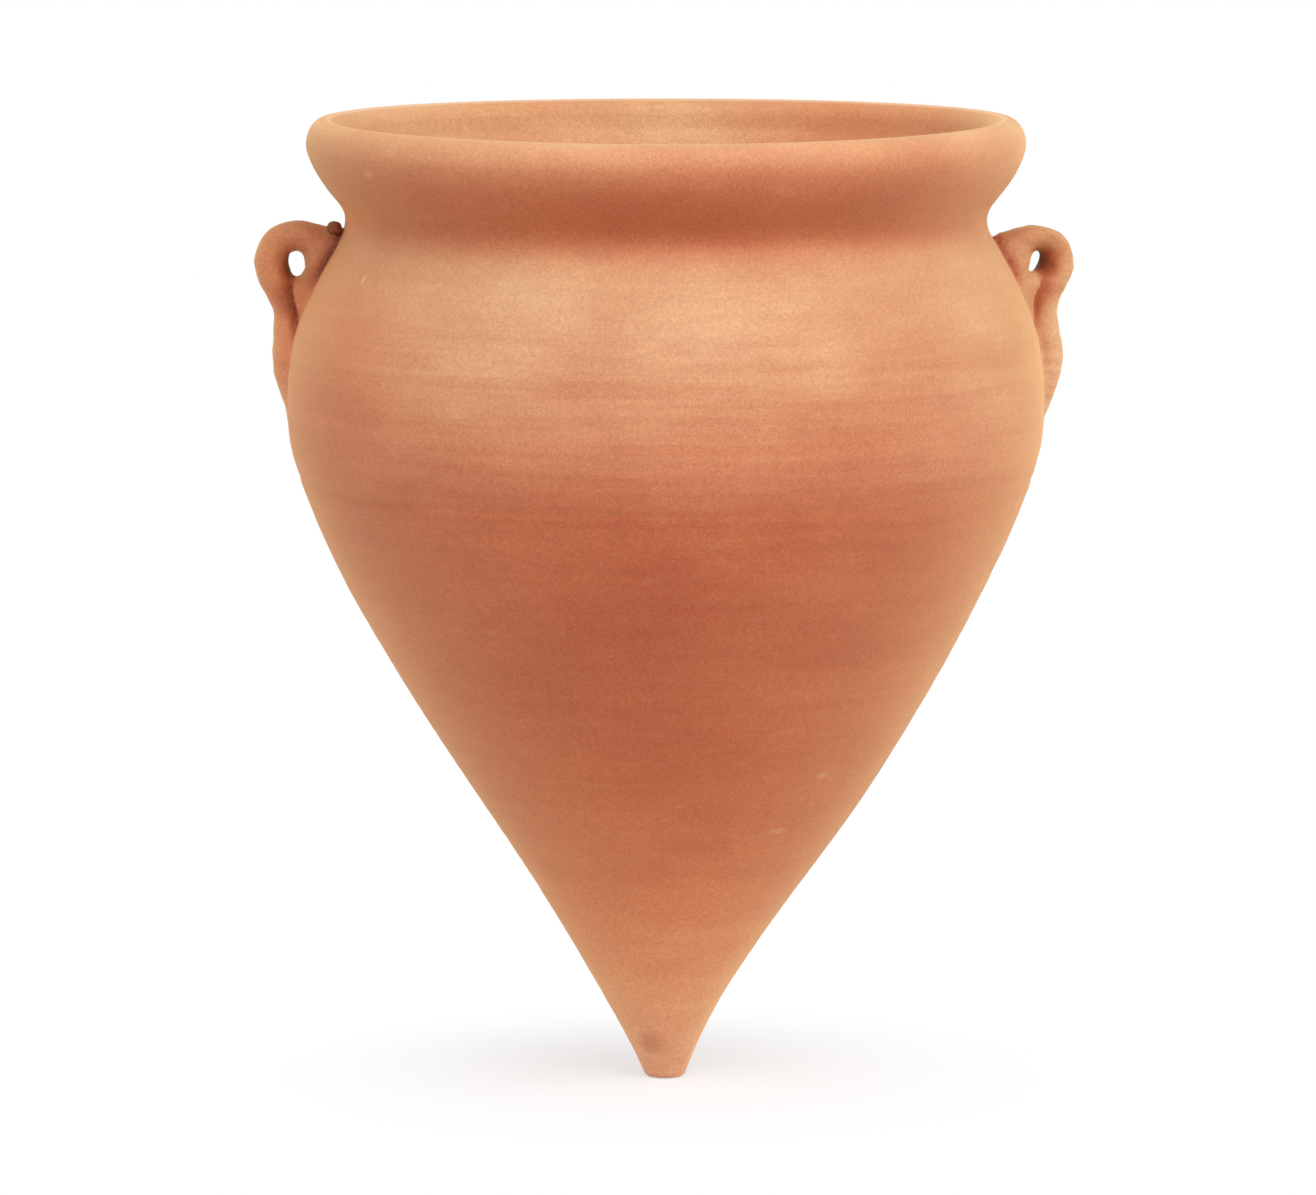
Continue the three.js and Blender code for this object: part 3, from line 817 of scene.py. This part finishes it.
def random_relief(seed, length):
    """A smooth random field of place in mm, about -1 to 1, with dents about length long."""
    draw = np.random.default_rng(seed)
    ways = draw.normal(size=(DENT_WAVES, 3))
    ways *= 2 * math.pi / length / np.linalg.norm(ways, axis=1)[:, None]
    ways *= draw.uniform(*DENT_RANGE, size=(DENT_WAVES, 1))
    starts = draw.uniform(0, 2 * math.pi, DENT_WAVES)

    def relief(u, v, height):
        waves = (
            (np.exp(1j * (a * u + start)) * np.exp(1j * b * v) * np.exp(1j * c * height)).real
            for (a, b, c), start in zip(ways, starts)
        )
        return sum(waves) * math.sqrt(2 / DENT_WAVES) / DENT_SCALE

    return relief


def soft_min(first, second, blend):
    """The lower of two fields, with a round fillet where they are closer than blend."""
    near = np.maximum(blend - np.abs(first - second), 0) / blend
    return np.minimum(first, second) - near * near * blend / 4


def oval_distance(offsets, halves):
    """About the distance in mm to an oval, from the offsets along its axes and its half sizes."""
    ratio = np.sqrt(sum((offset / half) ** 2 for offset, half in zip(offsets, halves)))
    slope = np.sqrt(sum((offset / half**2) ** 2 for offset, half in zip(offsets, halves)))
    return (ratio - 1) * ratio / np.maximum(slope, 1e-6)


def strap_distance(u, v, height, line):
    """Distance in mm to a strap of oval section. The place along the strap is found without v, so open
    grids of u, v and height are quick."""
    shape = np.broadcast(u, height).shape
    best = np.full(shape, np.inf)
    across, beyond = np.zeros(shape), np.zeros(shape)
    sizes = np.zeros((3, *shape))
    for start, end in zip(line, line[1:]):
        run = end[:2] - start[:2]
        length = math.hypot(*run)
        along = ((u - start[0]) * run[0] + (height - start[1]) * run[1]) / length**2
        share = np.clip(along, 0, 1)
        off_u = u - start[0] - share * run[0]
        off_height = height - start[1] - share * run[1]
        distance = off_u**2 + off_height**2
        nearer = distance < best
        best = np.where(nearer, distance, best)
        across = np.where(nearer, (off_height * run[0] - off_u * run[1]) / length, across)
        beyond = np.where(nearer, (along - share) * length, beyond)
        for kept, first, last in zip(sizes, start[2:], end[2:]):
            np.copyto(kept, first + share * (last - first), where=nearer)
    half_thick, half_wide, twist = sizes
    twist = np.radians(twist)
    out = across * np.cos(twist) + v * np.sin(twist)
    sideways = v * np.cos(twist) - across * np.sin(twist)
    return oval_distance((out, beyond, sideways), (half_thick, half_thick, half_wide))


def slit_distance(u, v, height, slit):
    """Distance in mm to a slit that runs through as the camera looks."""
    middle_u, middle_height, half_wide, half_long, lean = slit
    lean = math.radians(lean)
    off_u = u - middle_u - v * math.tan(HANDLE_TURN + PHOTO_TURN)
    off_height = height - middle_height + v * SIGHT_FALL
    wide = off_u * math.cos(lean) - off_height * math.sin(lean)
    long = off_u * math.sin(lean) + off_height * math.cos(lean)
    return oval_distance((wide, long), (half_wide, half_long))


def wall_distance(u, v, height, side):
    """Distance in mm out from the finished wall."""
    x, y = in_jar(u, v, side)
    rise = (outer_base(height + 1) - outer_base(height - 1)) / 2
    return (np.hypot(x, y) - outer_radius(np.arctan2(y, x), height)) / np.sqrt(1 + rise**2)


def bell(distance, spread):
    """1 at no distance, fading away over about the spread."""
    return np.exp(-((distance / spread) ** 2))


class Ear:
    """The field of one handle: below 0 inside its clay."""

    def __init__(self, edge, pad, web, hollow, darkness, side, seed, slit=None):
        self.darkness = darkness
        self.strap, self.pad, self.web = strap_from(edge, side), smooth_line(pad, STRAP_SPACING), web
        self.hollow, self.side, self.slit = hollow, side, slit
        self.lumps = [(random_relief(seed + i, length), depth) for i, (length, depth) in enumerate(LUMPS)]
        self.rags = random_relief(seed + 9, RAGS[0])

    def parts(self, u, v, height):
        """Distances to the strap, to the pad with its web and to the wall, with their dents."""
        wall = wall_distance(u, v, height, self.side)
        strap = strap_distance(u, v, height, self.strap)
        pad = strap_distance(u, v, height, self.pad)
        offsets = [place - middle for place, middle in zip((u, v, height), self.web)]
        web = oval_distance(offsets, self.web[3:])
        dents = sum(relief(u, v, height) * depth for relief, depth in self.lumps)
        torn = between(height, *RAG_HEIGHTS) * bell(wall, RAG_REACH)
        dents = dents + self.rags(u, v, height) * RAGS[1] * torn
        return strap + dents, soft_min(pad, web, LOOP_BLEND) + dents, wall

    def field(self, u, v, height):
        """About the distance in mm to the handle's finished skin, below 0 inside its clay."""
        strap, pad, wall = self.parts(u, v, height)
        loop_blend = GROOVE_BLEND + (LOOP_BLEND - GROOVE_BLEND) * between(height, *LOOP_HEIGHTS)
        ear = soft_min(strap, pad, loop_blend)
        if self.slit:
            ear = -soft_min(-ear, slit_distance(u, v, height, self.slit), SLIT_BLEND)
        blend = TAIL_BLEND + (ROOT_BLEND - TAIL_BLEND) * between(height, TAIL_START, ROOT_END)
        skin = soft_min(ear, wall + SKIN_SINK, blend)
        return np.maximum(np.maximum(skin, -(wall + SKIN_DEPTH)), ear - SKIN_REACH)

    def painted_shade(self, u, v, height):
        """How much painted shade the clay gets, 0 to 1: in the groove below the hole, along the torn
        root, and in the hollow of the loop, where shade falls."""
        strap, pad, wall = self.parts(u, v, height)
        on_strap = strap < pad
        off_wall = between(wall, *OFF_WALL)
        narrow, wide = GROOVE_SPREAD
        spread = narrow + (wide - narrow) * between(height, *GROOVE_WIDENS)
        depth = self.darkness * (GROOVE_LEAST + (1 - GROOVE_LEAST) * between(height, *GROOVE_DEEPENS))
        groove = bell(np.maximum(np.minimum(pad, wall), 0), spread) * depth * between(height, *GROOVE_TOP)
        pad_side = PAD_SIDE * self.darkness * bell(strap, PAD_SIDE_SPREAD) * between(height, *PAD_SIDE_TOP)
        groove = np.where(on_strap, groove, pad_side) * off_wall
        torn = self.darkness * bell(np.maximum(wall, 0), TORN_SPREAD) * between(height, *TORN_HEIGHTS)
        middle_u, middle_height, spread_u, spread_height = self.hollow
        hollow = bell(u - middle_u, spread_u) * bell(height - middle_height, spread_height)
        hollow = np.where(on_strap, hollow, hollow * bell(strap, HOLLOW_SPREAD))
        return np.clip(np.maximum(np.maximum(groove, torn * off_wall), hollow), 0, 1)


def surface_of(field, low, step):
    """The surface where a field on a grid passes through 0, as points and four-cornered faces."""
    inside = field < 0
    shifts = [(i, j, k) for i in (0, 1) for j in (0, 1) for k in (0, 1)]
    size = np.array(field.shape) - 1

    def shifted_by(grid, shift):
        return grid[tuple(slice(s, s + n) for s, n in zip(shift, size))]

    count_in = sum(shifted_by(inside, shift).astype(int) for shift in shifts)
    mixed = (count_in > 0) & (count_in < 8)
    cells = np.argwhere(mixed)
    number = np.full(mixed.shape, -1)
    number[mixed] = np.arange(len(cells))
    values = {shift: shifted_by(field, shift)[mixed] for shift in shifts}
    total = np.zeros((len(cells), 3))
    found = np.zeros(len(cells))
    for a in shifts:
        for axis in range(3):
            if a[axis]:
                continue
            b = tuple(1 if axis == i else n for i, n in enumerate(a))
            crosses = (values[a] < 0) != (values[b] < 0)
            gap = np.where(crosses, values[a] - values[b], 1)
            place = np.array(a, float) + np.outer(values[a] / gap, np.subtract(b, a))
            total += place * crosses[:, None]
            found += crosses
    points = low + step * (cells + total / found[:, None])
    faces = []
    for axis in range(3):
        one, two = [i for i in range(3) if i != axis]
        first = np.take(inside, range(inside.shape[axis] - 1), axis)
        second = np.take(inside, range(1, inside.shape[axis]), axis)
        edges = np.argwhere(first != second)
        edges = edges[(edges[:, one] > 0) & (edges[:, two] > 0)]
        edges = edges[(edges[:, one] < size[one]) & (edges[:, two] < size[two])]
        around = []
        for back_one, back_two in ((1, 1), (0, 1), (0, 0), (1, 0)):
            cell = edges.copy()
            cell[:, one] -= back_one
            cell[:, two] -= back_two
            around.append(number[tuple(cell.T)])
        quads = np.stack(around, axis=-1)
        leaving = first[tuple(edges.T)] == (axis != 1)
        faces.append(np.where(leaving[:, None], quads, quads[:, ::-1]))
    return points, np.vstack(faces)


def grid_between(low, high, step):
    """An open grid of u, v and height."""
    axes = [np.arange(a, b + step, step) for a, b in zip(low, high)]
    return np.meshgrid(*axes, indexing="ij", sparse=True)


def clay_lump(node, field, low, step, side, painted_shade):
    """A piece whose skin is where the field passes through 0, with its painted shade."""
    points, faces = surface_of(field, low, step)
    x, y = in_jar(points[:, 0], points[:, 1], side)
    if side == LEFT:
        faces = faces[:, ::-1]
    obj = stand_for(node, np.column_stack([x, y, points[:, 2]]), faces.tolist())
    set_attribute(obj, SHADE_ATTRIBUTE, painted_shade(*points.T))


def shaped_handle(node, ear):
    """One handle with its blended joins."""
    u, v, height = grid_between(GRID_LOW, GRID_HIGH, GRID)
    clay_lump(node, ear.field(u, v, height), GRID_LOW, GRID, ear.side, ear.painted_shade)


left_ear = Ear(LEFT_EDGE, LEFT_PAD, LEFT_WEB, LEFT_HOLLOW, darkness=0.9, side=LEFT, seed=20)
right_ear = Ear(
    RIGHT_EDGE, RIGHT_PAD, RIGHT_WEB, RIGHT_HOLLOW, darkness=0.5, side=RIGHT, seed=40, slit=RIGHT_SLIT
)
shaped_handle("left_handle", left_ear)
shaped_handle("right_handle", right_ear)

# The pellet of clay between the left handle and the neck, painted dark as shade, in mm
WAD_MIDDLE = (204.6, -10.1, 533.0)  # u, v, height
WAD_HALF = (4.7, 4.7, 4.6)
WAD_DENTS = (5.0, 0.3)  # length and depth
WAD_SEED = 77
WAD_GRID = 0.3  # the grain of its field
WAD_MARGIN = 2  # and how far the field goes beyond it
# painted shade over the whole pellet
WAD_SHADE = 0.75


def evenly_shaded(u, v, height):
    """The pellet's painted shade, the same all over."""
    return np.full(len(u), WAD_SHADE)


def shaped_wad():
    """The pellet, an oval with dents."""
    middle, half = np.array(WAD_MIDDLE), np.array(WAD_HALF)
    low = middle - half - WAD_MARGIN
    u, v, height = grid_between(low, middle + half + WAD_MARGIN, WAD_GRID)
    offsets = [place - centre for place, centre in zip((u, v, height), middle)]
    length, depth = WAD_DENTS
    field = oval_distance(offsets, half) + random_relief(WAD_SEED, length)(u, v, height) * depth
    clay_lump("left_luting_wad", field, low, WAD_GRID, LEFT, evenly_shaded)


shaped_wad()

# -------------------- floor, light and camera

FLOOR_HALF = 6.0
FLOOR_SHADED = 0.03  # up to this far from the foot the camera sees the most of the floor's shadow
FLOOR_CLEAR = 0.26  # and from this far out it sees plain white
FLOOR_COLOUR = (0.86, 0.86, 0.87)
FLOOR_ROUGHNESS = 0.9
SHADOW_SHARE = 0.45  # of the floor's true shadow that the camera sees at the most
ROOM_STRENGTH = 0.58
CAMERA_REACH = 60  # past the far edge of the floor
# Square lamps: where the camera would see them, the height on the axis that they face, size and watts
LAMPS = {
    "key": ((0.9, -1.9, 2.4), 0.38, 1.8, 53),
    "fill": ((-0.9, -1.9, 2.4), 0.38, 1.8, 16),
    "left_side": ((-2.4, 0.3, 1.0), 0.35, 1.6, 5),
    "right_side": ((2.4, 0.3, 1.0), 0.35, 1.6, 9),
}


def sees_white(tree):
    """1 for the rays that show the studio as plain white, to the camera or in a gloss, and 0 for others."""
    path = tree.nodes.new("ShaderNodeLightPath")
    most = path.outputs["Is Camera Ray"]
    for kind in ("Is Glossy Ray", "Is Transmission Ray"):
        node = tree.nodes.new("ShaderNodeMath")
        node.operation = "MAXIMUM"
        tree.links.new(most, node.inputs[0])
        tree.links.new(path.outputs[kind], node.inputs[1])
        most = node.outputs[0]
    return most


def studio_floor():
    """The floor: white to the camera, but for part of the jar's shadow near the foot."""
    corners_at = [(-1, -1), (1, -1), (1, 1), (-1, 1)]
    mesh = bpy.data.meshes.new("studio_floor")
    mesh.from_pydata([(x * FLOOR_HALF, y * FLOOR_HALF, 0) for x, y in corners_at], [], [(0, 1, 2, 3)])
    material = bpy.data.materials.new("studio_floor")
    nodes = Nodes(material)
    nodes.shader.inputs["Base Color"].default_value = (*FLOOR_COLOUR, 1)
    nodes.shader.inputs["Roughness"].default_value = FLOOR_ROUGHNESS
    nodes.shader.inputs["Specular IOR Level"].default_value = 0.0
    from_foot = nodes.vector("LENGTH", nodes.place)
    white_share = nodes.eased(from_foot, FLOOR_SHADED, FLOOR_CLEAR, 1 - SHADOW_SHARE, 1)
    white = nodes.add("ShaderNodeEmission")
    mix = nodes.add("ShaderNodeMixShader")
    nodes.join(nodes.math("MULTIPLY", white_share, sees_white(nodes.tree)), mix.inputs[0])
    nodes.join(nodes.shader.outputs[0], mix.inputs[1])
    nodes.join(white.outputs[0], mix.inputs[2])
    nodes.join(mix.outputs[0], nodes.tree.nodes["Material Output"].inputs["Surface"])
    mesh.materials.append(material)
    floor = bpy.data.objects.new("studio_floor", mesh)
    bpy.context.scene.collection.objects.link(floor)


def soft_light(name, place, aim_height, size, power):
    """A square lamp that faces the jar's axis."""
    lamp = bpy.data.lights.new(name, "AREA")
    lamp.shape = "SQUARE"
    lamp.size = size
    lamp.energy = power
    obj = bpy.data.objects.new(name, lamp)
    obj.location = turned(place)
    obj.rotation_euler = (turned((0, 0, aim_height)) - turned(place)).to_track_quat("-Z", "Y").to_euler()
    bpy.context.scene.collection.objects.link(obj)


def room():
    """Even light from all round, which the camera and glosses see as white."""
    world = bpy.data.worlds.new("studio")
    bpy.context.scene.world = world
    world.use_nodes = True
    tree = world.node_tree
    light, white = tree.nodes["Background"], tree.nodes.new("ShaderNodeBackground")
    for background in (light, white):
        background.inputs["Color"].default_value = (1, 1, 1, 1)
    light.inputs["Strength"].default_value = ROOM_STRENGTH
    mix = tree.nodes.new("ShaderNodeMixShader")
    tree.links.new(sees_white(tree), mix.inputs[0])
    tree.links.new(light.outputs[0], mix.inputs[1])
    tree.links.new(white.outputs[0], mix.inputs[2])
    tree.links.new(mix.outputs[0], tree.nodes["World Output"].inputs["Surface"])


studio_floor()
room()
for lamp_name, setting in LAMPS.items():
    soft_light(lamp_name, *setting)

camera = bpy.data.cameras.new("camera")
camera.lens = CAMERA_LENS
camera.clip_end = CAMERA_REACH
camera_obj = bpy.data.objects.new("camera", camera)
camera_obj.location = turned(CAMERA_PLACE)
camera_obj.rotation_euler = (math.pi / 2 - CAMERA_TILT, 0, -PHOTO_TURN)
bpy.context.scene.collection.objects.link(camera_obj)
bpy.context.scene.camera = camera_obj
bpy.context.scene.view_settings.view_transform = "Standard"
